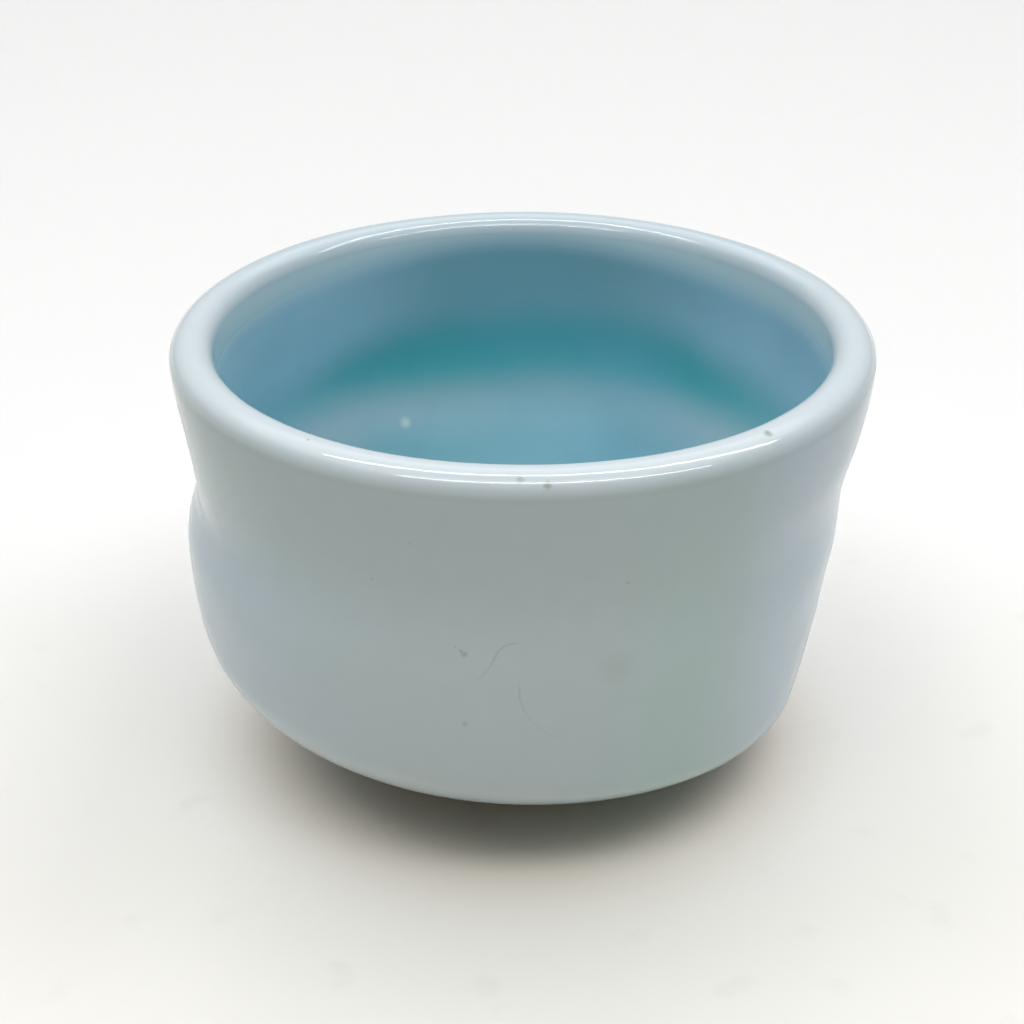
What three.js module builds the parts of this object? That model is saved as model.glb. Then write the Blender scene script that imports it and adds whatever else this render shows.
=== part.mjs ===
// Tea bowl, thrown round and then pressed by hand: a rolled lip, a pinched waist, a belly that leans
// to the left and a hip that sags on the right, on a turned foot ring.
// The clay wears two glazes, a pale one outside and over the lip and a deeper one inside.
// Millimetres, +Z up. The origin is on the table, under the centre of the lip.
import * as THREE from 'three';

// Overall size, with the glaze
const BOWL_HEIGHT = 81;
const RIM_RADIUS = 60;

// Rolled lip: its width, and the height of its round above its widest level
const LIP_WIDTH = 7.2;
const LIP_CROWN = 3.1;

// Outside wall: drops are below the lip's widest level, insets are in from the lip
const NECK_DROP = 10;
const NECK_INSET = 1.1;
const WAIST_DROP = 22;
const WAIST_INSET = 3;
const BELLY_DROP = 34;
const BELLY_INSET = 2.2;

// Hip: the corner that the wall's line runs down to, and the height of the curve that rounds it off
const HIP_HEIGHT = 14.2;
const HIP_INSET = 6.2;
const HIP_TAPER = 0.22;
const HIP_ROUND = 11.4;

// Hand pressing: the hip hangs lower and tighter on the right, and is rounder on the left
const HIP_SAG = 6.8;
const HIP_SIDE_ROUND = 4.3;

// Hand pressing: the belly is pushed to the left, from one drop below the lip to another
const BELLY_LEAN = 2.6;
const LEAN_START_DROP = 8.7;
const LEAN_END_DROP = 43.9;

// Hollow: a straight stretch below the lip, then a round hollow down to the floor.
// A fullness of 2 is an ellipse, and a lower one turns sooner towards the floor.
const INSIDE_START_DROP = 27;
const HOLLOW_FULLNESS = 1.42;
const FLOOR_THICKNESS = 6;

// Foot ring, wider at its seat than at the table, and the shallow dish turned inside it
const FOOT_HEIGHT = 6;
const FOOT_RADIUS = 28.5;
const FOOT_WIDTH = 7;
const FOOT_OUTER_TAPER = 1.2;
const FOOT_INNER_TAPER = 1;
const FOOT_BEVEL = 0.6;
const RECESS_DISH = 1;

// Glaze coats: their thickness, the bond line that parts them from the clay and from each other,
// the bare ring that is left round the foot, and how far below the lip the two coats meet
const GLAZE_THICKNESS = 0.6;
const BOND_GAP = 0.3;
const BARE_RING = 1.5;
const SEAM_DROP = 9;

// Facets, and the step over which the wall's slope is read
const SEGMENTS = 48;
const HIP_STEPS = 7;
const WALL_STEPS = 9;
const LIP_STEPS = 8;
const HOLLOW_STEPS = 10;
const SLOPE_STEP = 0.01;

const lipLevel = BOWL_HEIGHT - LIP_CROWN;
const insideRadius = RIM_RADIUS - LIP_WIDTH;
const hollowTop = lipLevel - INSIDE_START_DROP;
const floorTop = FOOT_HEIGHT + FLOOR_THICKNESS;
const seamLevel = lipLevel - SEAM_DROP;
const clayDepth = GLAZE_THICKNESS + BOND_GAP;
const seatRadius = FOOT_RADIUS + BARE_RING;

const palePorcelainGlaze = new THREE.MeshStandardMaterial({ color: 0xb4c6cc, roughness: 0.12, metalness: 0 });
const turquoiseGlaze = new THREE.MeshStandardMaterial({ color: 0x5f9aa8, roughness: 0.12, metalness: 0 });
const firedClay = new THREE.MeshStandardMaterial({ color: 0xd8d2c6, roughness: 0.85, metalness: 0 });
const footClay = new THREE.MeshStandardMaterial({ color: 0xd2cabc, roughness: 0.9, metalness: 0 });

const point = (radius, height) => new THREE.Vector2(radius, height);

// Height and radius of the outside wall's stations on one meridian, from the lip down to the hip corner
function wallStations(hipDrop, hipRadius) {
  return [
    { drop: 0, radius: RIM_RADIUS },
    { drop: NECK_DROP, radius: RIM_RADIUS - NECK_INSET },
    { drop: WAIST_DROP, radius: RIM_RADIUS - WAIST_INSET },
    { drop: BELLY_DROP, radius: RIM_RADIUS - BELLY_INSET },
    { drop: hipDrop, radius: hipRadius },
  ];
}

// Smooth curve through the stations: upright at the lip, running in at the hip's taper at its end
function wallCurve(stations) {
  const last = stations.length - 1;
  const slopes = stations.map((station, i) => {
    if (i === 0) return 0;
    if (i === last) return -HIP_TAPER;
    const above = stations[i - 1];
    const below = stations[i + 1];
    return (below.radius - above.radius) / (below.drop - above.drop);
  });
  return (drop) => {
    const i = Math.max(0, Math.min(last - 1, stations.findIndex((station) => station.drop > drop) - 1));
    const span = stations[i + 1].drop - stations[i].drop;
    const t = (drop - stations[i].drop) / span;
    const lower = t * t * (3 - 2 * t);
    const leave = t * (1 - t) * (1 - t) * span * slopes[i];
    const arrive = t * t * (t - 1) * span * slopes[i + 1];
    return stations[i].radius * (1 - lower) + stations[i + 1].radius * lower + leave + arrive;
  };
}

// Outside on one meridian, from the glaze's edge beside the foot, round the hip and up to the lip
function outsideProfile(theta) {
  const right = Math.cos(theta);
  const sag = HIP_SAG * right * (1 + right) / 2;
  const hipDrop = lipLevel - HIP_HEIGHT + sag;
  const hipRadius = RIM_RADIUS - HIP_INSET - HIP_TAPER * sag;
  const radiusAt = wallCurve(wallStations(hipDrop, hipRadius));

  // The hip's curve leaves the wall along the wall's own slope
  const round = HIP_ROUND - HIP_SIDE_ROUND * right;
  const startDrop = hipDrop - round;
  const startRadius = radiusAt(startDrop);
  const startSlope = (radiusAt(startDrop + SLOPE_STEP) - radiusAt(startDrop - SLOPE_STEP)) / (2 * SLOPE_STEP);
  const hip = new THREE.QuadraticBezierCurve(
    point(seatRadius, FOOT_HEIGHT - clayDepth),
    point(startRadius + startSlope * round, lipLevel - hipDrop),
    point(startRadius, lipLevel - startDrop),
  ).getPoints(HIP_STEPS);

  const wall = [];
  for (let i = 1; i < WALL_STEPS; i++) {
    const drop = startDrop * (1 - i / WALL_STEPS);
    wall.push(point(radiusAt(drop), lipLevel - drop));
  }
  return [...hip, ...wall];
}

// Rolled lip, from its widest level outside, over the top, to its inner edge
function lipProfile() {
  const middle = RIM_RADIUS - LIP_WIDTH / 2;
  return new THREE.EllipseCurve(middle, lipLevel, LIP_WIDTH / 2, LIP_CROWN, 0, Math.PI).getPoints(LIP_STEPS);
}

// Round hollow, from its top edge down to the middle of the floor
function hollowProfile() {
  const depth = hollowTop - floorTop;
  const points = [];
  for (let i = 0; i < HOLLOW_STEPS; i++) {
    const turn = Math.PI / 2 * i / HOLLOW_STEPS;
    const radius = insideRadius * Math.cos(turn) ** (2 / HOLLOW_FULLNESS);
    points.push(point(radius, hollowTop - depth * Math.sin(turn) ** (2 / HOLLOW_FULLNESS)));
  }
  return [...points, point(0, floorTop)];
}

// Moves a profile that runs from the foot over the lip to the floor into the clay, along its normals.
// A profile that ends on the axis goes on there as its own mirror image.
function sunk(profile, depth) {
  return profile.map((at, i) => {
    const before = profile[i - 1] ?? at;
    const mirrored = at.x === 0 ? point(-before.x, before.y) : at;
    const along = (profile[i + 1] ?? mirrored).clone().sub(before).normalize();
    return point(at.x - along.y * depth, at.y + along.x * depth);
  });
}

// Pale coat: a closed band from beside the foot, up the outside and over the lip
function outerGlazeProfile(theta) {
  const face = [...outsideProfile(theta), ...lipProfile(), point(insideRadius, seamLevel + BOND_GAP)];
  return [...face, ...sunk(face, GLAZE_THICKNESS).reverse(), face[0]];
}

// Deep coat: a bowl that starts and ends on the axis
function innerGlazeProfile() {
  const face = [point(insideRadius, seamLevel), ...hollowProfile()];
  return [...sunk(face, GLAZE_THICKNESS).reverse(), ...face];
}

// Clay: the dish inside the foot, the flat seat of the foot, and the skin sunk under both glazes
function clayProfile(theta) {
  const skin = [...outsideProfile(theta), ...lipProfile(), point(insideRadius, seamLevel), ...hollowProfile()];
  const footInner = FOOT_RADIUS - FOOT_WIDTH;
  const underside = [
    point(0, FOOT_HEIGHT + RECESS_DISH),
    point(footInner - BARE_RING, FOOT_HEIGHT),
    point(seatRadius, FOOT_HEIGHT),
  ];
  return [...underside, ...sunk(skin, clayDepth).slice(1)];
}

// Foot ring: bevelled standing face, sides that draw in towards the table, flat seat on top
function footProfile() {
  const inner = FOOT_RADIUS - FOOT_WIDTH;
  const ring = [
    point(inner + FOOT_INNER_TAPER + FOOT_BEVEL, 0),
    point(FOOT_RADIUS - FOOT_OUTER_TAPER - FOOT_BEVEL, 0),
    point(FOOT_RADIUS - FOOT_OUTER_TAPER, FOOT_BEVEL),
    point(FOOT_RADIUS, FOOT_HEIGHT),
    point(inner, FOOT_HEIGHT),
    point(inner + FOOT_INNER_TAPER, FOOT_BEVEL),
  ];
  return [...ring, ring[0]];
}

// How far the hand has pushed the bowl to the left at a height
function leanAt(height) {
  return BELLY_LEAN * THREE.MathUtils.smoothstep(lipLevel - height, LEAN_START_DROP, LEAN_END_DROP);
}

// Turns a profile round the axis, with its own shape on each meridian, and leans it over
function pressed(name, profileAt, material) {
  const geometry = new THREE.LatheGeometry(profileAt(0), SEGMENTS);
  const position = geometry.attributes.position;
  for (let i = 0; i <= SEGMENTS; i++) {
    const theta = 2 * Math.PI * (i % SEGMENTS) / SEGMENTS;
    const profile = profileAt(theta);
    profile.forEach(({ x: radius, y: height }, j) => {
      const x = radius * Math.cos(theta) - leanAt(height);
      position.setXYZ(i * profile.length + j, x, radius * Math.sin(theta), height);
    });
  }
  geometry.computeVertexNormals();
  const mesh = new THREE.Mesh(geometry, material);
  mesh.name = name;
  return mesh;
}

const bowl = new THREE.Group();
bowl.add(pressed('clay_body', clayProfile, firedClay));
bowl.add(pressed('foot_ring', footProfile, footClay));
bowl.add(pressed('outer_glaze', outerGlazeProfile, palePorcelainGlaze));
bowl.add(pressed('inner_glaze', innerGlazeProfile, turquoiseGlaze));

export default bowl;
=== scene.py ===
"""Tea bowl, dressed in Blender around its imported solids.

The clay, the foot and the two glazes are built again as fine meshes from the sizes of the solids, and take
their place. Metres, +Z up. The origin is on the table, under the centre of the lip.
"""
import math

import bmesh
import bpy
from bpy.props import FloatProperty, FloatVectorProperty, PointerProperty
from bpy.types import Operator, Panel, PropertyGroup
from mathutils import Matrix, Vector, noise


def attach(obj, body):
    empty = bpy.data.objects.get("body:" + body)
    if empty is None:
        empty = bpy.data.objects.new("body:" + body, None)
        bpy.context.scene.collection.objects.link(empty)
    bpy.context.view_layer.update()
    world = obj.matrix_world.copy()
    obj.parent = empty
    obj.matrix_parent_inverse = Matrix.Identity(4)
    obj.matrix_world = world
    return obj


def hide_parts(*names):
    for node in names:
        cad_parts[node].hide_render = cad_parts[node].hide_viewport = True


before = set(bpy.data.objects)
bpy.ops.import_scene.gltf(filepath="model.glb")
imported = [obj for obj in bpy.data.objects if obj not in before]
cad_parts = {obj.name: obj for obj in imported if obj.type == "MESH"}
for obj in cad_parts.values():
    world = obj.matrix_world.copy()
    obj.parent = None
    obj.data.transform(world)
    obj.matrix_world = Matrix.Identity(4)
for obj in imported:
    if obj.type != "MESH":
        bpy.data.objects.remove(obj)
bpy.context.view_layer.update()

bl_info = {
    "name": "Tea bowl",
    "version": (1, 0, 0),
    "blender": (4, 5, 0),
    "location": "View3D > Sidebar > Tea Bowl",
    "description": "Builds a hand-pressed, glazed tea bowl and the light it is seen in",
    "category": "Add Mesh",
}

MILLIMETRE = 0.001
BODY = "root"

# Mesh fineness: meridians round the bowl, and steps along each stretch of the profile
MERIDIANS = 384
HIP_STEPS = 44
WALL_STEPS = 72
LIP_STEPS = 40
STRAIGHT_STEPS = 10
SHOULDER_STEPS = 20
HOLLOW_STEPS = 90
BACK_STRIDE = 4
HIDDEN_STRIDE = 2
BEAD_STEPS = 6
DISH_STEPS = 60
FOOT_STEPS = 18
ROUND_SEGMENTS = 96
SHARP_ANGLE = math.radians(40)
SLOPE_STEP = 0.01 * MILLIMETRE

# Share of the hip's curve beside the foot that the outer coat leaves bare, how much of it wavers, and
# the size of its waves as a share of the radius
GLAZE_EDGE = 0.02
EDGE_WAVER = 0.7
EDGE_WAVE = 0.55

# How far along the profile the hollow's shoulder is softened
SHOULDER_EASE = 6.0 * MILLIMETRE

# Ridges turned into the dish inside the foot: their height, and their turn from its middle to its edge
DISH_RIDGE = 0.08 * MILLIMETRE
DISH_RIDGE_TURN = 40.0

# Roughness of the glazes: in the hollow, over the lip, and what is added behind, on the wall and in patches
INSIDE_DULLNESS = 0.40
LIP_DULLNESS = 0.03
BEHIND_DULLNESS = 0.06
WALL_DULLNESS = 0.14
PATCH_DULLNESS = 0.03

# Strength of the glazes' gloss, and the heights of their skin and of the clay's rings and grit
GLAZE_SPECULAR = 0.3
GLAZE_BUMP = 0.012 * MILLIMETRE
CLAY_BUMP = 0.12 * MILLIMETRE

# Rings that turning has left in the clay, from one to the next, and how much of it is toasted
TURNING_PITCH = 0.9 * MILLIMETRE
BODY_TOAST = 0.35
FOOT_TOAST = 0.8

# Stage, in metres: the ground, the backdrop, the panel and the strips with their places along the bowl
GROUND_RADIUS = 4.0
BACKDROP_RADIUS = 3.9
BACKDROP_HEIGHT = 4.0
PANEL_PLACE = (0.0, -0.48, 1.10)
PANEL_SIZE = (1.2, 0.30)
STRIP_SIDE = 0.25
STRIP_SIZE = (1.6, 0.09)
STRIPS = {"front_strip": -0.495, "back_strip": 0.127}

# Half of the soft edge of the overhead light, in radians, and how much it is dimmed straight above
SKY_EDGE = 0.10
ZENITH_DIMMING = 0.65

# Camera: width of its sensor in millimetres, and the nearest that it sees in metres
SENSOR_WIDTH = 36.0
NEAREST_SEEN = 0.01


def length(name, millimetres, description):
    """A size that a user can change, written in millimetres and kept in metres."""
    return FloatProperty(
        name=name, description=description, default=millimetres * MILLIMETRE, precision=5, unit="LENGTH"
    )


def ratio(name, default, description):
    """A plain number that a user can change."""
    return FloatProperty(name=name, description=description, default=default, precision=3)


def angle(name, degrees, description):
    """An angle that a user can change, written in degrees."""
    return FloatProperty(name=name, description=description, default=math.radians(degrees), subtype="ANGLE")


def colour(name, default, description):
    """A colour that a user can change, as linear red, green and blue."""
    return FloatVectorProperty(
        name=name, description=description, default=default, size=3, min=0.0, max=1.0, subtype="COLOR"
    )


class TeaBowlSizes(PropertyGroup):
    """Sizes of the bowl, which are those of its solids."""

    bowl_height: length("Bowl height", 81.0, "From the table to the top of the lip")
    rim_radius: length("Rim radius", 60.0, "Outside radius of the lip")
    lip_width: length("Lip width", 7.2, "Thickness of the rolled lip")
    lip_crown: length("Lip crown", 3.1, "Height of the lip's round above its widest level")
    neck_drop: length("Neck drop", 10.0, "Neck's depth below the lip")
    neck_inset: length("Neck inset", 1.1, "Neck's distance in from the lip")
    waist_drop: length("Waist drop", 22.0, "Waist's depth below the lip")
    waist_inset: length("Waist inset", 3.0, "Waist's distance in from the lip")
    belly_drop: length("Belly drop", 34.0, "Belly's depth below the lip")
    belly_inset: length("Belly inset", 2.2, "Belly's distance in from the lip")
    hip_height: length("Hip height", 14.2, "Height of the corner that the wall runs down to")
    hip_inset: length("Hip inset", 6.2, "Hip corner's distance in from the lip")
    hip_taper: ratio("Hip taper", 0.22, "How fast the wall runs in at the hip")
    hip_round: length("Hip round", 11.4, "Height of the curve that rounds the hip off")
    hip_sag: length("Hip sag", 6.8, "How much lower the hip hangs on the right")
    hip_side_round: length("Hip side round", 4.3, "How much tighter the hip is on the right")
    belly_lean: length("Belly lean", 2.6, "How far the belly is pushed to the left")
    lean_start_drop: length("Lean start", 8.7, "Depth below the lip where the lean starts")
    lean_end_drop: length("Lean end", 43.9, "Depth below the lip where the lean is full")
    inside_start_drop: length("Shoulder drop", 27.0, "Depth below the lip where the hollow turns in")
    hollow_fullness: ratio("Hollow fullness", 1.42, "2 is an ellipse, and a lower one turns sooner")
    floor_thickness: length("Floor thickness", 6.0, "Clay and glaze over the foot's seat")
    foot_height: length("Foot height", 6.0, "From the table to the foot's seat")
    foot_radius: length("Foot radius", 28.5, "Outside radius of the foot at its seat")
    foot_width: length("Foot width", 7.0, "Width of the foot at its seat")
    foot_outer_taper: length("Foot outer taper", 1.2, "How far the outside draws in at the table")
    foot_inner_taper: length("Foot inner taper", 1.0, "How far the inside draws in at the table")
    foot_bevel: length("Foot bevel", 0.6, "Bevel round the standing face")
    recess_dish: length("Recess dish", 1.0, "Depth of the dish turned inside the foot")
    glaze_thickness: length("Glaze thickness", 0.6, "Thickness of each coat")
    bond_line: length("Bond line", 0.3, "Line between the clay and a coat in the solids")
    bare_ring: length("Bare ring", 1.5, "Clay left bare beside the foot")
    seam_drop: length("Seam drop", 9.0, "Depth below the lip where the two coats meet")


class TeaBowlFinish(PropertyGroup):
    """Colours of the glazes and of the clay."""

    pale: colour("Pale glaze", (0.474, 0.547, 0.564), "Outside wall")
    # Whiter glaze over the lip in front, partly painted light where the lip's top catches the light.
    lip_white_lit: colour("Lip", (0.67, 0.755, 0.80), "Over the lip, where the glaze is whitest")
    # Painted shade: the lip is darker on the far side.
    lip_behind_shaded: colour("Lip behind", (0.58, 0.69, 0.75), "Over the lip on the far side")
    # Painted light: the lip's inner edge is lighter.
    lip_inner_lit: colour("Lip inside", (0.84, 0.95, 0.98), "Under the lip's inner edge")
    # Painted shade: a thin darker line along the lip's widest level.
    lip_edge: colour("Lip's edge", (0.30, 0.28, 0.32), "Thin line where the glaze has run off")
    mist_blue: colour("Blue mist", (0.50, 0.605, 0.69), "Where the pale glaze turns blue")
    sea_green: colour("Green drift", (0.435, 0.56, 0.55), "Where the pale glaze turns green")
    upper_blue: colour("Upper inside", (0.278, 0.51, 0.575), "Inside, below the lip")
    # Lighter inside towards the sides, partly painted light.
    side_blue: colour("Sides inside", (0.42, 0.68, 0.82), "Inside, below the lip at the sides")
    side_pale: colour("Flanks inside", (0.60, 0.84, 0.97), "Inside, far out at the sides, where it is thin")
    teal_band: colour("Shoulder", (0.10, 0.475, 0.515), "Inside, where the glaze has gathered")
    pool_blue: colour("Pool", (0.275, 0.475, 0.53), "In the bottom of the hollow")
    pool_side: colour("Pool's sides", (0.46, 0.60, 0.67), "To the left and right of the pool")
    # Darker middle of the pool, partly painted shade.
    pool_deep_shaded: colour("Pool's middle", (0.125, 0.345, 0.415), "Where the pool is thickest")
    deep_blue: colour("Blue drift", (0.24, 0.51, 0.66), "Where the inside turns blue")
    fleck: colour("Light fleck", (0.62, 0.80, 0.70), "Light fleck in the deep glaze")
    speck: colour("Specks", (0.105, 0.12, 0.02), "Specks that have come up through the glaze")
    iron: colour("Iron", (0.10, 0.085, 0.06), "Hairlines in the glaze and dark grains in the clay")
    clay: colour("Fired clay", (0.70, 0.645, 0.56), "Bare clay under the bowl")
    clay_shade: colour("Clay shade", (0.52, 0.455, 0.37), "Bare clay, where it is toasted or rubbed")


class TeaBowlStage(PropertyGroup):
    """Ground, lights and camera."""

    ground_near: colour("Ground near", (0.93, 0.915, 0.865), "Colour of the plain ground in front")
    # Painted shadow: the ground is darker and warmer under the bowl.
    ground_shadow_paint: colour("Ground under", (0.90, 0.82, 0.72), "Colour of the plain ground under the bowl")
    ground_far: colour("Ground far", (0.91, 0.91, 0.905), "Colour of the plain ground behind")
    sky_high: ratio("Overhead light", 2.25, "Strength of the soft light overhead")
    sky_low: ratio("Light behind", 0.35, "Strength of the light from lower down behind")
    sky_tilt: angle("Overhead tilt", 7.0, "Tilt of the overhead light towards the back")
    sky_reach: angle("Overhead reach", 46.0, "Half of the overhead light's spread")
    panel_power: ratio("Panel", 3.3, "Power of the soft panel in front, in watts")
    strip_shine: ratio("Strips", 22.0, "Brightness of the strips that the gloss shows")
    strip_height: length("Strip height", 928.0, "Height of the strips above the table")
    backdrop_shine: ratio("Backdrop", 0.84, "Brightness of the wall behind, seen from low down")
    camera_height: length("Camera height", 190.84, "Camera above the table")
    camera_back: length("Camera distance", 272.29, "Camera in front of the bowl's axis")
    camera_side: length("Camera side", -1.82, "Camera to the right of the bowl's axis")
    camera_tilt: angle("Camera tilt", 28.4506, "Camera's tilt below level")
    camera_lens: ratio("Lens", 59.766, "Focal length on a 36 mm sensor")


# Specks that have come up through the glaze: place in millimetres, radius and strength
SPECKS = (
    ((-0.6, -58.7, 80.3), 0.55, 0.30),
    ((3.2, -59.2, 79.7), 0.55, 0.42),
    ((36.2, -44.7, 80.9), 0.60, 0.55),
    ((-31.9, -47.2, 81.0), 0.22, 0.50),
    ((-9.0, -57.0, 49.7), 0.45, 0.32),
    ((-9.6, -56.8, 50.2), 0.28, 0.28),
    ((-10.4, -56.6, 50.8), 0.22, 0.22),
    ((-9.1, -56.8, 36.8), 0.45, 0.20),
    ((-16.7, -56.6, 68.7), 0.25, 0.20),
    ((15.4, -55.5, 61.5), 0.28, 0.20),
    ((-22.8, -53.0, 60.6), 0.22, 0.18),
    ((14.0, -55.8, 46.6), 2.6, 0.07),
)

# A light fleck in the deep glaze, in metres
LIGHT_FLECK = (-0.0237, 0.0424, 0.0412)

# Hairlines on the front, as arcs: centre in x and z, radius, middle of the arc in x and z, and half length
HAIRLINES = (
    ((10.63, 43.66), 11.31, (0.70, 38.25), 7.2),
    ((-15.15, 53.90), 11.66, (-5.20, 47.82), 3.0),
    ((-1.06, 48.25), 3.65, (-2.82, 51.45), 2.0),
)

# Unevenness of the outside: rise and size of its lumps in millimetres, and the part of the noise it is from
LUMPS = (
    (0.09, 26.0, 1.0),
    (0.03, 9.0, 4.0),
)

# Places where the hand has pressed the wall, in millimetres but for the first: azimuth in degrees, height,
# width and height of the mark, and its rise
PRESSES = (
    (-77.0, 49.5, 6.0, 3.2, 0.16),
    (-99.0, 44.0, 9.0, 8.0, -0.10),
    (-60.0, 33.0, 10.0, 8.0, 0.12),
    (-125.0, 56.0, 12.0, 7.0, -0.12),
    (-165.0, 54.5, 14.0, 4.5, -0.10),
    (-168.0, 52.6, 30.0, 4.2, -0.60),
    (-168.0, 58.5, 16.0, 4.0, 0.12),
    (-12.0, 53.6, 24.0, 6.0, 0.36),
    (-12.0, 33.0, 22.0, 9.0, 0.34),
    (-12.0, 20.0, 20.0, 8.0, 0.22),
    (60.0, 45.0, 14.0, 10.0, 0.14),
    (110.0, 52.0, 12.0, 8.0, -0.14),
    (165.0, 40.0, 12.0, 9.0, 0.12),
)


def smooth_step(value, low, high):
    """0 below low, 1 above high and smooth between them."""
    t = min(max((value - low) / (high - low), 0.0), 1.0)
    return t * t * (3.0 - 2.0 * t)


def shifted(profile, distances):
    """Moves the points of a profile along its normals, into the air where the distance is positive.

    A profile that ends on the axis goes on there as its own mirror image.
    """
    moved = []
    last = len(profile) - 1
    for i, at in enumerate(profile):
        before = profile[max(i - 1, 0)]
        after = profile[min(i + 1, last)]
        if i == last and at.x == 0.0:
            after = Vector((-before.x, before.y))
        along = (after - before).normalized()
        moved.append(at + Vector((along.y, -along.x)) * distances[i])
    return moved


def sunk(profile, depth):
    """A profile moved into the clay by the same depth all along."""
    return shifted(profile, [-depth] * len(profile))


def eased(profile, reach):
    """A profile whose turns are softened over a reach, with its ends kept."""
    stations = [0.0]
    for before, at in zip(profile, profile[1:]):
        stations.append(stations[-1] + (at - before).length)
    last = len(profile) - 1
    softened = []
    for at, here in zip(profile, stations):
        total = Vector((0.0, 0.0))
        weight = 0.0
        for j, there in enumerate(stations):
            spacing = stations[min(j + 1, last)] - stations[max(j - 1, 0)]
            share = spacing * math.exp(-(((there - here) / reach) ** 2))
            total += profile[j] * share
            weight += share
        end = min(here, stations[-1] - here)
        softened.append(at.lerp(total / weight, smooth_step(end, 0.0, 2.0 * reach)))
    return softened


class BowlForm:
    """The bowl's skin on each meridian, turned round and then pressed by hand."""

    def __init__(self, sizes):
        self.sizes = sizes
        self.lip_level = sizes.bowl_height - sizes.lip_crown
        self.inside_radius = sizes.rim_radius - sizes.lip_width
        self.hollow_top = self.lip_level - sizes.inside_start_drop
        self.floor_top = sizes.foot_height + sizes.floor_thickness
        self.seam_level = self.lip_level - sizes.seam_drop
        self.seat_radius = sizes.foot_radius + sizes.bare_ring

    def wall(self, hip_drop, hip_radius):
        """The outside wall's radius as a function of the drop below the lip, on one meridian."""
        s = self.sizes
        stations = (
            (0.0, s.rim_radius),
            (s.neck_drop, s.rim_radius - s.neck_inset),
            (s.waist_drop, s.rim_radius - s.waist_inset),
            (s.belly_drop, s.rim_radius - s.belly_inset),
            (hip_drop, hip_radius),
        )
        slopes = [0.0]
        for above, below in zip(stations, stations[2:]):
            slopes.append((below[1] - above[1]) / (below[0] - above[0]))
        slopes.append(-s.hip_taper)

        def radius_at(drop):
            i = 0
            while i < len(stations) - 2 and stations[i + 1][0] <= drop:
                i += 1
            span = stations[i + 1][0] - stations[i][0]
            t = (drop - stations[i][0]) / span
            lower = t * t * (3.0 - 2.0 * t)
            leave = t * (1.0 - t) * (1.0 - t) * span * slopes[i]
            arrive = t * t * (t - 1.0) * span * slopes[i + 1]
            return stations[i][1] * (1.0 - lower) + stations[i + 1][1] * lower + leave + arrive

        return radius_at

    def outside(self, theta, edge=0.0):
        """From beside the foot, round the hip and up to the lip.

        The edge is the share of the hip's curve that is left out beside the foot.
        """
        s = self.sizes
        right = math.cos(theta)
        sag = s.hip_sag * right * (1.0 + right) / 2.0
        hip_drop = self.lip_level - s.hip_height + sag
        radius_at = self.wall(hip_drop, s.rim_radius - s.hip_inset - s.hip_taper * sag)
        height = s.hip_round - s.hip_side_round * right
        start_drop = hip_drop - height
        rise = radius_at(start_drop + SLOPE_STEP) - radius_at(start_drop - SLOPE_STEP)
        slope = rise / (2.0 * SLOPE_STEP)
        foot_end = Vector((self.seat_radius, s.foot_height - s.glaze_thickness - s.bond_line))
        corner = Vector((radius_at(start_drop) + slope * height, self.lip_level - hip_drop))
        wall_end = Vector((radius_at(start_drop), self.lip_level - start_drop))
        points = []
        for i in range(HIP_STEPS + 1):
            t = edge + (1.0 - edge) * i / HIP_STEPS
            points.append(foot_end * (1 - t) ** 2 + corner * 2 * t * (1 - t) + wall_end * t * t)
        for i in range(1, WALL_STEPS):
            drop = start_drop * (1.0 - i / WALL_STEPS)
            points.append(Vector((radius_at(drop), self.lip_level - drop)))
        return points

    def lip(self):
        """Over the rolled lip, from its widest level outside to its inner edge."""
        s = self.sizes
        middle = s.rim_radius - s.lip_width / 2.0
        points = []
        for i in range(LIP_STEPS + 1):
            turn = math.pi * i / LIP_STEPS
            points.append(Vector((
                middle + s.lip_width / 2.0 * math.cos(turn),
                self.lip_level + s.lip_crown * math.sin(turn),
            )))
        return points

    def straight(self, top, bottom, steps):
        """Down the straight inside wall from one height to another, without the upper end."""
        return [
            Vector((self.inside_radius, top + (bottom - top) * i / steps))
            for i in range(1, steps + 1)
        ]

    def hollow(self):
        """Round the hollow from below its shoulder to the middle of the floor."""
        s = self.sizes
        depth = self.hollow_top - self.floor_top
        power = 2.0 / s.hollow_fullness
        points = []
        for i in range(1, HOLLOW_STEPS):
            turn = math.pi / 2.0 * i / HOLLOW_STEPS
            points.append(Vector((
                self.inside_radius * math.cos(turn) ** power,
                self.hollow_top - depth * math.sin(turn) ** power,
            )))
        points.append(Vector((0.0, self.floor_top)))
        return points

    def place(self, at, theta):
        """A profile's point on its meridian, leaning with the belly."""
        s = self.sizes
        lean = s.belly_lean * smooth_step(self.lip_level - at.y, s.lean_start_drop, s.lean_end_drop)
        return Vector((at.x * math.cos(theta) - lean, at.x * math.sin(theta), at.y))


def ripple(place, size, seed):
    """Smooth unevenness between about -1 and 1, over lumps of a size."""
    return noise.noise(place / size + Vector((seed, 2.3 * seed, -1.7 * seed)))


def hand_relief(place):
    """How far the hand has left a place on the outside standing out, in metres."""
    rise = 0.0
    for amount, size, seed in LUMPS:
        rise += amount * MILLIMETRE * ripple(place, size * MILLIMETRE, seed)
    azimuth = math.atan2(place.y, place.x)
    reach = math.hypot(place.x, place.y)
    for degrees, height, width, tall, amount in PRESSES:
        turn = math.remainder(azimuth - math.radians(degrees), 2.0 * math.pi)
        across = turn * reach / (width * MILLIMETRE)
        up = (place.z - height * MILLIMETRE) / (tall * MILLIMETRE)
        rise += amount * MILLIMETRE * math.exp(-across * across - up * up)
    return rise


def finished_mesh(name, mesh_data):
    """A mesh made from the data, which is then freed."""
    mesh = bpy.data.meshes.new(name)
    mesh_data.to_mesh(mesh)
    mesh_data.free()
    return mesh


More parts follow.
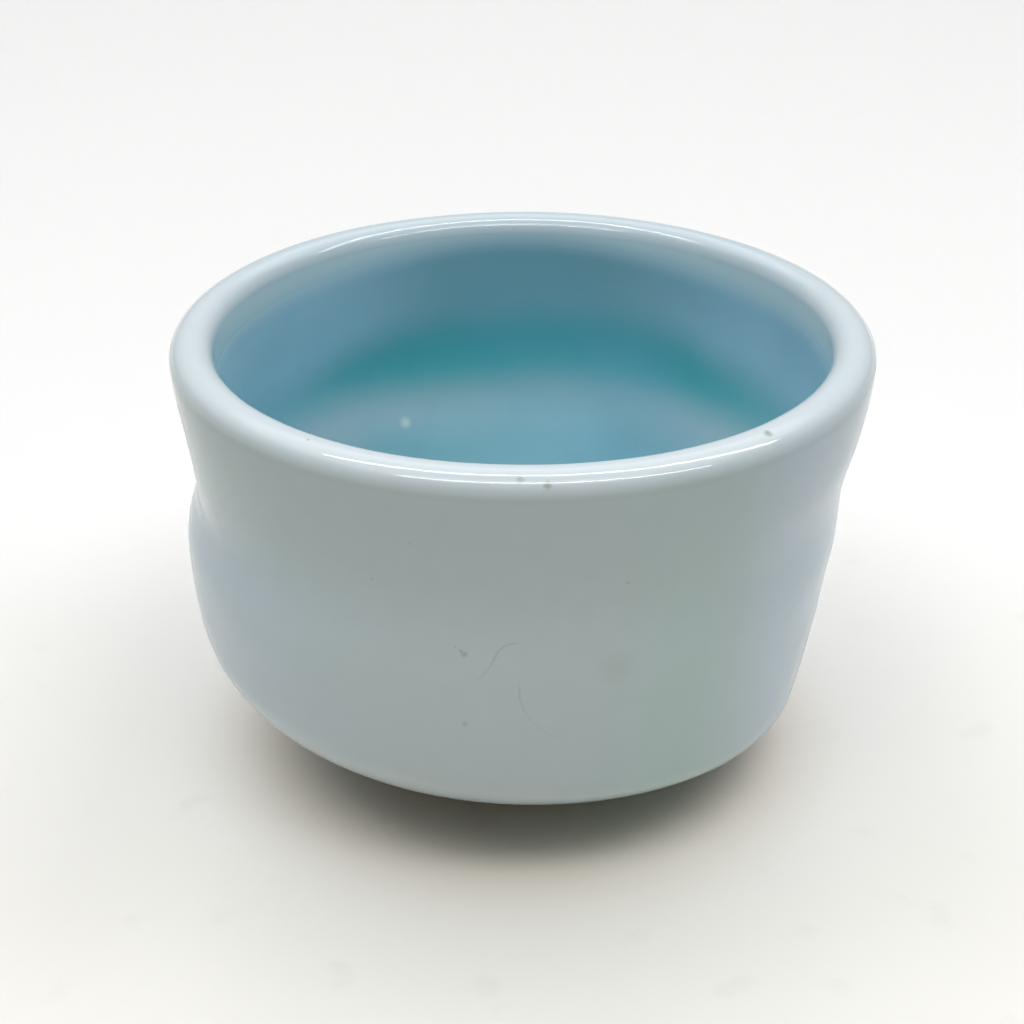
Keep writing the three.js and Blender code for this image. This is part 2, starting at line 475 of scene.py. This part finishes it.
def turned_mesh(name, form, profile_at, is_loop):
    """A mesh through the profiles of all meridians; a profile that isn't a loop ends on the axis."""
    mesh_data = bmesh.new()
    columns = []
    poles = {}
    for k in range(MERIDIANS):
        theta = 2.0 * math.pi * k / MERIDIANS
        column = []
        for j, at in enumerate(profile_at(theta)):
            if at.x == 0.0:
                if j not in poles:
                    poles[j] = mesh_data.verts.new(form.place(at, theta))
                column.append(poles[j])
            else:
                column.append(mesh_data.verts.new(form.place(at, theta)))
        columns.append(column)
    rows = len(columns[0])
    for k, column in enumerate(columns):
        other = columns[(k + 1) % MERIDIANS]
        for j in range(rows if is_loop else rows - 1):
            up = (j + 1) % rows
            corners = []
            for vertex in (column[j], other[j], other[up], column[up]):
                if vertex not in corners:
                    corners.append(vertex)
            mesh_data.faces.new(corners)
    bmesh.ops.recalc_face_normals(mesh_data, faces=mesh_data.faces)
    mesh = finished_mesh(name, mesh_data)
    mesh.shade_smooth()
    mesh.set_sharp_from_angle(angle=SHARP_ANGLE)
    return mesh


def add_piece(name, mesh, material, node):
    """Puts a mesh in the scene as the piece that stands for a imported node."""
    piece = bpy.data.objects.new(name, mesh)
    mesh.materials.append(material)
    bpy.context.scene.collection.objects.link(piece)
    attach(piece, BODY)
    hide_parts(node)


class Wire:
    """A socket in a material. Arithmetic on it adds Math nodes."""

    def __init__(self, finish, socket):
        self.finish = finish
        self.socket = socket

    def __add__(self, other):
        return self.finish.math("ADD", self, other)

    __radd__ = __add__

    def __sub__(self, other):
        return self.finish.math("SUBTRACT", self, other)

    def __rsub__(self, other):
        return self.finish.math("SUBTRACT", other, self)

    def __mul__(self, other):
        return self.finish.math("MULTIPLY", self, other)

    __rmul__ = __mul__


class Nodes:
    """A node tree while it is being put together."""

    def __init__(self, tree):
        self.tree = tree
        self.tree.nodes.clear()

    def node(self, kind, settings=None, inputs=None, output=0):
        """Adds a node, with its settings first and then the values or links of its sockets."""
        made = self.tree.nodes.new("ShaderNode" + kind)
        for key, value in (settings or {}).items():
            setattr(made, key, value)
        for key, value in (inputs or {}).items():
            if isinstance(value, Wire):
                self.tree.links.new(value.socket, made.inputs[key])
            else:
                made.inputs[key].default_value = value
        return Wire(self, made.outputs[output])

    def math(self, operation, *values):
        """A Math node on wires and numbers."""
        return self.node("Math", {"operation": operation}, dict(enumerate(values)))

    def vector(self, operation, first, second, output=0):
        """A Vector Math node on two vectors."""
        return self.node("VectorMath", {"operation": operation}, {0: first, 1: second}, output)

    def fade(self, value, low, high):
        """0 up to low, 1 from high on and smooth between them; low may be the larger."""
        return self.node(
            "MapRange", {"interpolation_type": "SMOOTHSTEP"},
            {"Value": value, "From Min": low, "From Max": high},
        )

    def mix(self, amount, first, second, blend="MIX"):
        """One colour turning into another."""
        sockets = {"Factor": amount}
        for key, value in (("A", first), ("B", second)):
            sockets[key] = value if isinstance(value, Wire) else (*value, 1.0)
        return self.node("Mix", {"data_type": "RGBA", "blend_type": blend}, sockets, "Result")

    def mix_value(self, amount, first, second):
        """One number turning into another."""
        return first + (second - first) * amount

    def close(self, shader, kind):
        """Links a shader to the tree's output."""
        output = self.tree.nodes.new("ShaderNode" + kind)
        self.tree.links.new(shader.socket, output.inputs["Surface"])


class Finish(Nodes):
    """A material, with noise and spots placed in the bowl's own coordinates."""

    def __init__(self, name):
        self.material = bpy.data.materials.new(name)
        self.material.use_nodes = True
        super().__init__(self.material.node_tree)
        self.coordinates = self.node("TexCoord", output="Object")
        split = {"Vector": self.coordinates}
        self.x, self.y, self.z = [self.node("SeparateXYZ", inputs=split, output=axis) for axis in "XYZ"]

    def cloud(self, size, detail=2.0, shift=(0.0, 0.0, 0.0)):
        """Smooth noise between 0 and 1 with lumps of a size; a shift picks another part of it."""
        scaled = self.vector("MULTIPLY", self.coordinates, [1.0 / size] * 3)
        moved = self.vector("ADD", scaled, shift)
        return self.node("TexNoise", None, {"Vector": moved, "Scale": 1.0, "Detail": detail}, "Fac")

    def distance(self, place):
        """Distance from a place on the bowl."""
        return self.vector("DISTANCE", self.coordinates, place, "Value")

    def spot(self, place, inner, outer, ragged):
        """1 round a place and 0 away from it, with an edge that a ragged length makes uneven."""
        return self.fade(self.distance(place) + ragged, outer, inner)

    def surface(self, base, roughness, height, bump_distance, more=None):
        """Closes the material with a Principled shader, bumped by a height."""
        sockets = {"Base Color": base, "Roughness": roughness}
        if height is not None:
            sockets["Normal"] = self.node(
                "Bump", None, {"Height": height, "Strength": 1.0, "Distance": bump_distance}, "Normal"
            )
        sockets.update(more or {})
        self.close(self.node("BsdfPrincipled", None, sockets, "BSDF"), "OutputMaterial")
        return self.material


def pale_colour(finish, form, colours, is_inner):
    """The pale glaze: a cool grey-white with slow drifts of blue and green, whiter over the lip partly as
    painted light. Painted shade darkens the wall towards the lip and the lip behind, and painted light
    lightens the lip's inner edge.

    Each fade says where a tone starts and where it is full, in metres along x, y or z.
    """
    low = finish.fade(finish.z, 0.066, 0.050)
    behind = finish.fade(finish.y, 0.0, 0.045)
    across = finish.x + (finish.cloud(0.035, 2.0, (2.2, 9.1, 5.0)) - 0.5) * (0.006 + 0.034 * behind)
    left = finish.fade(across, -0.018, -0.046)
    right = finish.fade(across, 0.006, 0.024)
    far_right = finish.fade(across, 0.026, 0.044)
    mist = finish.fade(finish.cloud(0.055, 2.0, (3.1, 0.4, 1.7)), 0.42, 0.75)
    green = finish.fade(finish.cloud(0.050, 2.0, (7.7, 5.2, 0.3)), 0.45, 0.78)
    mist = mist * 0.25 + left * low * 0.50 + far_right
    green = green * 0.30 + (right - far_right) * 0.7 + left * (1.0 - low) * 0.35
    tone = finish.mix(mist, colours.pale, colours.mist_blue)
    tone = finish.mix(green, tone, colours.sea_green)
    # Painted shade: the outside wall darkens by up to 13% towards the lip.
    thin = finish.fade(finish.z, 0.040, 0.076)
    tone = finish.mix(thin * 0.13, tone, (0.0, 0.0, 0.0))
    # Over the lip the tone turns whiter: partly a whiter glaze, partly painted light on the lip's top.
    high = finish.fade(finish.z, form.lip_level - 0.0008, form.lip_level + 0.0027)
    # Painted shade: behind, the lip's white turns darker.
    white = finish.mix(behind * 0.8, colours.lip_white_lit, colours.lip_behind_shaded)
    # Painted light: the lip's inner edge turns lighter.
    painted_light_inner_edge = finish.fade(finish.z, form.lip_level + 0.0020, form.lip_level - 0.0006) * is_inner
    white = finish.mix(painted_light_inner_edge, white, colours.lip_inner_lit)
    tone = finish.mix(finish.math("MAXIMUM", high, is_inner), tone, white)
    # Painted shade: a thin line along the lip's widest level, 10% towards the lip's edge colour.
    rubbed = finish.fade(finish.math("ABSOLUTE", finish.z - form.lip_level + 0.0004), 0.0010, 0.0001)
    return finish.mix(rubbed * (1.0 - is_inner) * 0.10, tone, colours.lip_edge)


def deep_colour(finish, form, colours):
    """The deep glaze: it gathers above the hollow's shoulder and is milkier in the pool below. It is
    lighter towards the sides, partly as painted light, and darker in the pool's middle, partly as painted
    shade.

    Each fade says where a tone starts and where it is full, in metres along x, y or z.
    """
    sideways = finish.math("ABSOLUTE", finish.x)
    aside = finish.fade(sideways, 0.012, 0.045)
    flank = finish.fade(sideways, 0.030, 0.055)
    left = finish.fade(finish.x, -0.012, -0.042)
    wander = (finish.cloud(0.030, 2.0, (1.3, 8.1, 4.4)) - 0.5) * 0.006
    level = finish.z + wander
    # Lighter towards the sides and on the left, partly painted light.
    tone = finish.mix(aside * 0.85, colours.upper_blue, colours.side_blue)
    tone = finish.mix(flank * 0.55 + left * 0.35, tone, colours.side_pale)
    right = finish.fade(finish.x, 0.012, 0.034)
    lower = (aside - right * 0.5) * 0.005
    band = finish.fade(level + lower, form.lip_level - 0.012, form.lip_level - 0.023)
    tone = finish.mix(band * (1.0 - 0.45 * flank - 0.10 * left), tone, colours.teal_band)
    pool = finish.fade(level - aside * 0.001, form.hollow_top + 0.0005, form.hollow_top - 0.0075)
    tone = finish.mix(pool, tone, finish.mix(aside * 0.6, colours.pool_blue, colours.pool_side))
    # Darker in the pool's middle, partly painted shade.
    deepest = finish.fade(level, form.hollow_top - 0.006, form.hollow_top - 0.0155)
    tone = finish.mix(deepest, tone, colours.pool_deep_shaded)
    blue = finish.fade(finish.cloud(0.045, 2.0, (5.9, 2.2, 9.3)), 0.42, 0.75)
    tone = finish.mix(blue * 0.4, tone, colours.deep_blue)
    fleck = finish.spot(LIGHT_FLECK, 0.0003, 0.0017, wander * 0.2)
    return finish.mix(fleck * 0.55, tone, colours.fleck)


def fired_marks(finish, base, colours):
    """The specks and the hairlines that firing has left in the pale glaze."""
    ragged = (finish.cloud(0.0005, 1.0) - 0.5) * 0.0005
    for place, radius, strength in SPECKS:
        at = [v * MILLIMETRE for v in place]
        size = radius * MILLIMETRE
        base = finish.mix(finish.spot(at, size * 0.3, size * 1.7, ragged) * strength, base, colours.speck)
    facing = finish.fade(finish.y, -0.030, -0.045)
    wall = finish.vector("MULTIPLY", finish.coordinates, (1.0, 0.0, 1.0))
    uneven = (finish.cloud(0.003, 1.0, (4.0, 1.0, 6.0)) - 0.5) * 0.0009
    faint = 0.04 + 0.14 * finish.fade(finish.cloud(0.004, 1.0, (1.0, 3.0, 2.0)), 0.30, 0.65)
    for (cx, cz), radius, (mx, mz), half in HAIRLINES:
        centre = (cx * MILLIMETRE, 0.0, cz * MILLIMETRE)
        middle = (mx * MILLIMETRE, 0.0, mz * MILLIMETRE)
        off = finish.vector("DISTANCE", wall, centre, "Value") + uneven - radius * MILLIMETRE
        line = finish.fade(finish.math("ABSOLUTE", off), 0.00027, 0.00004)
        along = finish.vector("DISTANCE", wall, middle, "Value")
        within = finish.fade(along, half * MILLIMETRE * 1.1, half * MILLIMETRE * 0.7)
        base = finish.mix(line * within * facing * faint, base, colours.iron)
    return base


def glaze_finish(name, form, colours, is_inside):
    """Glossy glaze. The pale coat turns into the deep one over the lip's inner edge."""
    finish = Finish(name)
    deep = deep_colour(finish, form, colours)
    if is_inside:
        base = deep
        dullness = INSIDE_DULLNESS
    else:
        flat = finish.vector("MULTIPLY", finish.coordinates, (1.0, 1.0, 0.0))
        from_axis = finish.vector("LENGTH", flat, (0.0, 0.0, 0.0), "Value")
        middle = form.sizes.rim_radius - form.sizes.lip_width / 2.0
        is_within = finish.fade(from_axis, middle + 0.0002, middle)
        is_high = finish.fade(finish.z, form.lip_level - 0.018, form.lip_level - 0.014)
        aside = finish.fade(finish.math("ABSOLUTE", finish.x), 0.0, 0.050)
        turning = finish.fade(finish.z + aside * 0.0034, form.lip_level + 0.0022, form.lip_level - 0.0047)
        is_inner = is_within * is_high
        inward = turning * is_inner
        base = finish.mix(inward, pale_colour(finish, form, colours, is_inner), deep)
        base = fired_marks(finish, base, colours)
        wall = finish.fade(finish.z, form.lip_level - 0.001, form.lip_level - 0.006)
        behind = finish.fade(finish.y, 0.0, 0.045)
        outward = LIP_DULLNESS + BEHIND_DULLNESS * behind + WALL_DULLNESS * wall
        dullness = finish.mix_value(inward, outward, INSIDE_DULLNESS)
    mottle = finish.cloud(0.004, 3.0, (2.0, 6.0, 1.0))
    base = finish.mix(0.10, base, finish.mix(mottle, (0.25, 0.25, 0.25), (0.75, 0.75, 0.75)), "SOFT_LIGHT")
    roughness = dullness + PATCH_DULLNESS * finish.cloud(0.012, 2.0, (4.0, 4.0, 8.0))
    skin = finish.cloud(0.0016, 1.0) * 0.1 + finish.cloud(0.007, 2.0)
    return finish.surface(base, roughness, skin, GLAZE_BUMP, {"Specular IOR Level": GLAZE_SPECULAR})


def clay_finish(name, colours, toast):
    """Bare fired clay: matt, toasted in places, with fine rings from turning and dark grains."""
    finish = Finish(name)
    flat = finish.vector("MULTIPLY", finish.coordinates, (1.0, 1.0, 0.0))
    shifted_axis = finish.vector("ADD", flat, (bpy.context.scene.tea_bowl_sizes.belly_lean, 0.0, 0.0))
    from_axis = finish.vector("LENGTH", shifted_axis, (0.0, 0.0, 0.0), "Value")
    wobble = finish.cloud(0.010, 2.0) * 0.0004
    turn = (from_axis + wobble + finish.z * 0.8) * (2.0 * math.pi / TURNING_PITCH)
    rings = finish.math("SINE", turn) * 0.5 + 0.5
    toasted = finish.fade(finish.cloud(0.018, 3.0, (2.5, 7.5, 3.0)), 0.40, 0.72)
    base = finish.mix(toasted * toast, colours.clay, colours.clay_shade)
    base = finish.mix(rings * 0.10, base, colours.clay_shade)
    grains = finish.fade(finish.cloud(0.0009, 0.0, (9.0, 1.0, 5.0)), 0.70, 0.76)
    base = finish.mix(grains * 0.40, base, colours.iron)
    grit = finish.cloud(0.0007, 3.0, (6.0, 3.0, 2.0))
    roughness = 0.78 + 0.16 * grit
    return finish.surface(base, roughness, rings * 0.6 + grit, CLAY_BUMP)


class TEABOWL_OT_clay_body(Operator):
    """Build the clay body, with the marks of turning inside its foot"""

    bl_idname = "teabowl.clay_body"
    bl_label = "Clay Body"

    def execute(self, context):
        form = BowlForm(context.scene.tea_bowl_sizes)
        s = form.sizes
        inner = s.foot_radius - s.foot_width - s.bare_ring
        depth = s.glaze_thickness

        def profile_at(theta):
            underside = [Vector((0.0, s.foot_height + s.recess_dish))]
            for i in range(1, DISH_STEPS):
                out = i / DISH_STEPS
                ridge = DISH_RIDGE * math.sin(out * DISH_RIDGE_TURN + theta)
                dish = s.recess_dish * (1.0 - out * out)
                underside.append(Vector((inner * out, s.foot_height + dish + ridge)))
            for i in range(SHOULDER_STEPS + 1):
                out = i / SHOULDER_STEPS
                underside.append(Vector((inner + (form.seat_radius - inner) * out, s.foot_height)))
            skin = form.outside(theta) + form.lip()
            skin += form.straight(form.lip_level, form.hollow_top, STRAIGHT_STEPS) + form.hollow()
            hidden = sunk(skin, depth)
            return underside + hidden[1:-1:HIDDEN_STRIDE] + hidden[-1:]

        mesh = turned_mesh("clay_body_mesh", form, profile_at, False)
        material = clay_finish("bare_clay", context.scene.tea_bowl_finish, BODY_TOAST)
        add_piece("clay", mesh, material, "clay_body")
        return {"FINISHED"}


class TEABOWL_OT_foot_ring(Operator):
    """Build the turned foot ring that the bowl stands on"""

    bl_idname = "teabowl.foot_ring"
    bl_label = "Foot Ring"

    def execute(self, context):
        form = BowlForm(context.scene.tea_bowl_sizes)
        s = form.sizes
        inner = s.foot_radius - s.foot_width
        corners = [
            (inner + s.foot_inner_taper + s.foot_bevel, 0.0),
            (s.foot_radius - s.foot_outer_taper - s.foot_bevel, 0.0),
            (s.foot_radius - s.foot_outer_taper, s.foot_bevel),
            (s.foot_radius, s.foot_height),
            (inner, s.foot_height),
            (inner + s.foot_inner_taper, s.foot_bevel),
        ]

        def profile_at(theta):
            points = []
            for (r0, z0), (r1, z1) in zip(corners, corners[1:] + corners[:1]):
                for i in range(FOOT_STEPS):
                    t = i / FOOT_STEPS
                    points.append(Vector((r0 + (r1 - r0) * t, z0 + (z1 - z0) * t)))
            return points

        mesh = turned_mesh("foot_ring_mesh", form, profile_at, True)
        material = clay_finish("foot_clay", context.scene.tea_bowl_finish, FOOT_TOAST)
        add_piece("foot", mesh, material, "foot_ring")
        return {"FINISHED"}


class TEABOWL_OT_outer_glaze(Operator):
    """Build the pale coat, from beside the foot up the outside and over the lip"""

    bl_idname = "teabowl.outer_glaze"
    bl_label = "Outer Glaze"

    def execute(self, context):
        form = BowlForm(context.scene.tea_bowl_sizes)
        thickness = form.sizes.glaze_thickness

        def profile_at(theta):
            around = Vector((math.cos(theta), math.sin(theta), 0.0))
            edge = GLAZE_EDGE * (1.0 + EDGE_WAVER * ripple(around, EDGE_WAVE, 7.0))
            smooth = form.outside(theta, edge) + form.lip()
            smooth += form.straight(form.lip_level, form.seam_level, STRAIGHT_STEPS)
            rises = []
            for at in smooth:
                kept = 1.0
                if at.x < form.inside_radius + MILLIMETRE:
                    kept = smooth_step(at.y, form.seam_level, form.lip_level)
                rises.append(kept * hand_relief(form.place(at, theta)))
            face = shifted(smooth, rises)
            back = sunk(smooth, thickness)
            back = back[:-1:BACK_STRIDE] + back[-1:]
            middle = (face[0] + back[0]) / 2.0
            across = (face[0] - back[0]) / 2.0
            ahead = Vector((across.y, -across.x))
            bead = []
            for i in range(1, BEAD_STEPS):
                turn = math.pi * (i / BEAD_STEPS - 0.5)
                bead.append(middle + ahead * math.cos(turn) + across * math.sin(turn))
            return face + back[::-1] + bead

        mesh = turned_mesh("outer_glaze_mesh", form, profile_at, True)
        material = glaze_finish("pale_glaze", form, context.scene.tea_bowl_finish, False)
        add_piece("outer_coat", mesh, material, "outer_glaze")
        return {"FINISHED"}


class TEABOWL_OT_inner_glaze(Operator):
    """Build the turquoise coat in the hollow"""

    bl_idname = "teabowl.inner_glaze"
    bl_label = "Inner Glaze"

    def execute(self, context):
        form = BowlForm(context.scene.tea_bowl_sizes)
        skin = [Vector((form.inside_radius, form.seam_level))]
        skin += form.straight(form.seam_level, form.hollow_top, SHOULDER_STEPS) + form.hollow()
        back = sunk(skin, form.sizes.glaze_thickness)
        back = back[:-1:BACK_STRIDE] + back[-1:]
        face = eased(skin, SHOULDER_EASE)

        def profile_at(theta):
            return back[::-1] + face

        mesh = turned_mesh("inner_glaze_mesh", form, profile_at, False)
        material = glaze_finish("turquoise_glaze", form, context.scene.tea_bowl_finish, True)
        add_piece("inner_coat", mesh, material, "inner_glaze")
        return {"FINISHED"}


class TEABOWL_OT_stage(Operator):
    """Build the ground, the backdrop, the lights and the camera"""

    bl_idname = "teabowl.stage"
    bl_label = "Stage"

    def execute(self, context):
        stage = context.scene.tea_bowl_stage
        self.add_ground(context, stage)
        self.add_sky(context, stage)
        self.add_backdrop(context, stage)
        self.add_lights(context, stage)
        self.add_camera(context, stage)
        return {"FINISHED"}

    def add_ground(self, context, stage):
        """A wide plain sheet that the bowl stands on."""
        mesh_data = bmesh.new()
        bmesh.ops.create_circle(mesh_data, cap_ends=True, segments=ROUND_SEGMENTS, radius=GROUND_RADIUS)
        mesh = finished_mesh("ground_mesh", mesh_data)
        ground = bpy.data.objects.new("ground", mesh)
        context.scene.collection.objects.link(ground)
        finish = Finish("ground_sheet")
        shade = finish.cloud(0.20, 2.0)
        base = finish.mix(finish.fade(finish.y, -0.05, 0.12), stage.ground_near, stage.ground_far)
        base = finish.mix(shade * 0.02, base, (0.6, 0.6, 0.6))
        scuffs = finish.fade(finish.cloud(0.013, 4.0, (6.0, 2.0, 0.0)), 0.60, 0.78)
        base = finish.mix(scuffs * finish.fade(finish.y, 0.10, 0.0) * 0.10, base, (0.45, 0.43, 0.42))
        # Painted shadow: the ground is darker beside the bowl, more so on the left.
        beside = finish.fade(finish.math("ABSOLUTE", finish.x), 0.050, 0.080)
        beside = beside * finish.fade(finish.y, 0.090, 0.020) * finish.fade(finish.y, -0.110, -0.050)
        left = finish.fade(finish.x, 0.0, -0.05)
        base = finish.mix(beside * (0.10 + 0.10 * left), base, (0.54, 0.53, 0.53))
        # Painted shadow: under the bowl the ground turns darker and warmer.
        under = finish.fade(finish.distance((0.0, 0.0, 0.0)), 0.066, 0.040)
        base = finish.mix(under, base, stage.ground_shadow_paint)
        mesh.materials.append(finish.surface(base, 0.6, None, 0.0))

    def add_sky(self, context, stage):
        """A wide soft light overhead, tilted to the back, with little light from lower down."""
        world = bpy.data.worlds.new("studio")
        context.scene.world = world
        world.use_nodes = True
        sky = Nodes(world.node_tree)
        direction = sky.node("TexCoord", output="Generated")
        axis = (0.0, math.sin(stage.sky_tilt), math.cos(stage.sky_tilt))
        facing = sky.vector("DOT_PRODUCT", direction, axis, "Value")
        outer = math.cos(stage.sky_reach + SKY_EDGE)
        inner = math.cos(stage.sky_reach - SKY_EDGE)
        overhead = sky.fade(facing, outer, inner)
        behind = sky.fade(sky.vector("DOT_PRODUCT", direction, (0.0, 1.0, 0.0), "Value"), 0.0, 0.8)
        top = sky.fade(sky.vector("DOT_PRODUCT", direction, (0.0, 0.0, 1.0), "Value"), 0.94, 0.985)
        strength = stage.sky_low * behind + stage.sky_high * overhead * (1.0 - ZENITH_DIMMING * top)
        sky.close(sky.node("Background", None, {"Strength": strength}), "OutputWorld")
        context.scene.view_settings.view_transform = "Standard"
        context.scene.cycles.caustics_reflective = False

    def add_lamp(self, context, name, place, size, power):
        """A rectangular lamp that faces the bowl and isn't seen itself."""
        data = bpy.data.lights.new(name, "AREA")
        data.shape = "RECTANGLE"
        data.size = size[0]
        data.size_y = size[1]
        data.energy = power
        lamp = bpy.data.objects.new(name, data)
        lamp.location = place
        aim = Vector((0.0, -place[1], -place[2]))
        lamp.rotation_euler = aim.to_track_quat("-Z", "Y").to_euler()
        lamp.visible_camera = False
        context.scene.collection.objects.link(lamp)

    def add_shining(self, context, name, mesh_data, strength):
        """A sheet of the stage that shines but lights no matt surface."""
        mesh = finished_mesh(name + "_mesh", mesh_data)
        sheet = bpy.data.objects.new(name, mesh)
        sheet.visible_diffuse = False
        sheet.visible_shadow = False
        context.scene.collection.objects.link(sheet)
        material = bpy.data.materials.new(name)
        material.use_nodes = True
        material.cycles.emission_sampling = "NONE"
        shine = Nodes(material.node_tree)
        shine.close(shine.node("Emission", None, {"Strength": strength}), "OutputMaterial")
        mesh.materials.append(material)
        return sheet

    def add_strip(self, context, name, along, stage):
        """A long shining strip above the bowl, which only the gloss of the glaze sees."""
        mesh_data = bmesh.new()
        bmesh.ops.create_grid(mesh_data, x_segments=1, y_segments=1, size=0.5)
        strip = self.add_shining(context, name, mesh_data, stage.strip_shine)
        strip.location = (STRIP_SIDE, along, stage.strip_height)
        strip.scale = (*STRIP_SIZE, 1.0)
        strip.visible_camera = False

    def add_backdrop(self, context, stage):
        """A pale wall far off all round, which only the camera sees, for views from low down."""
        mesh_data = bmesh.new()
        bmesh.ops.create_cone(
            mesh_data, cap_ends=False, segments=ROUND_SEGMENTS,
            radius1=BACKDROP_RADIUS, radius2=BACKDROP_RADIUS, depth=BACKDROP_HEIGHT,
        )
        wall = self.add_shining(context, "backdrop", mesh_data, stage.backdrop_shine)
        wall.location = (0.0, 0.0, BACKDROP_HEIGHT / 2.0)
        wall.visible_glossy = False
        wall.visible_transmission = False

    def add_lights(self, context, stage):
        """A soft panel high in front, and two long shining strips above the bowl."""
        self.add_lamp(context, "panel", PANEL_PLACE, PANEL_SIZE, stage.panel_power)
        for name, along in STRIPS.items():
            self.add_strip(context, name, along, stage)

    def add_camera(self, context, stage):
        """The camera at the photograph's viewing angle."""
        data = bpy.data.cameras.new("camera")
        data.sensor_width = SENSOR_WIDTH
        data.lens = stage.camera_lens
        data.clip_start = NEAREST_SEEN
        camera = bpy.data.objects.new("camera", data)
        camera.location = (stage.camera_side, -stage.camera_back, stage.camera_height)
        camera.rotation_euler = (math.pi / 2.0 - stage.camera_tilt, 0.0, 0.0)
        context.scene.collection.objects.link(camera)
        context.scene.camera = camera


class TEABOWL_PT_panel(Panel):
    """Lists the bowl's pieces, sizes, finishes and stage"""

    bl_label = "Tea Bowl"
    bl_idname = "TEABOWL_PT_panel"
    bl_space_type = "VIEW_3D"
    bl_region_type = "UI"
    bl_category = "Tea Bowl"

    def draw(self, context):
        for operator in OPERATORS:
            self.layout.operator(operator.bl_idname)
        for key in GROUPS:
            group = getattr(context.scene, key)
            box = self.layout.box()
            for setting in group.__annotations__:
                box.prop(group, setting)


GROUPS = {
    "tea_bowl_sizes": TeaBowlSizes,
    "tea_bowl_finish": TeaBowlFinish,
    "tea_bowl_stage": TeaBowlStage,
}
OPERATORS = (
    TEABOWL_OT_clay_body,
    TEABOWL_OT_foot_ring,
    TEABOWL_OT_outer_glaze,
    TEABOWL_OT_inner_glaze,
    TEABOWL_OT_stage,
)


def register():
    """Registers the classes and hangs the settings on the scene."""
    for cls in (*GROUPS.values(), *OPERATORS, TEABOWL_PT_panel):
        bpy.utils.register_class(cls)
    for key, group in GROUPS.items():
        setattr(bpy.types.Scene, key, PointerProperty(type=group))


def unregister():
    """Takes the settings and the classes away again."""
    for key in GROUPS:
        delattr(bpy.types.Scene, key)
    for cls in reversed((*GROUPS.values(), *OPERATORS, TEABOWL_PT_panel)):
        bpy.utils.unregister_class(cls)


def main():
    """Builds the bowl and its stage."""
    register()
    bpy.ops.teabowl.clay_body()
    bpy.ops.teabowl.foot_ring()
    bpy.ops.teabowl.outer_glaze()
    bpy.ops.teabowl.inner_glaze()
    bpy.ops.teabowl.stage()


if __name__ == "__main__":
    main()
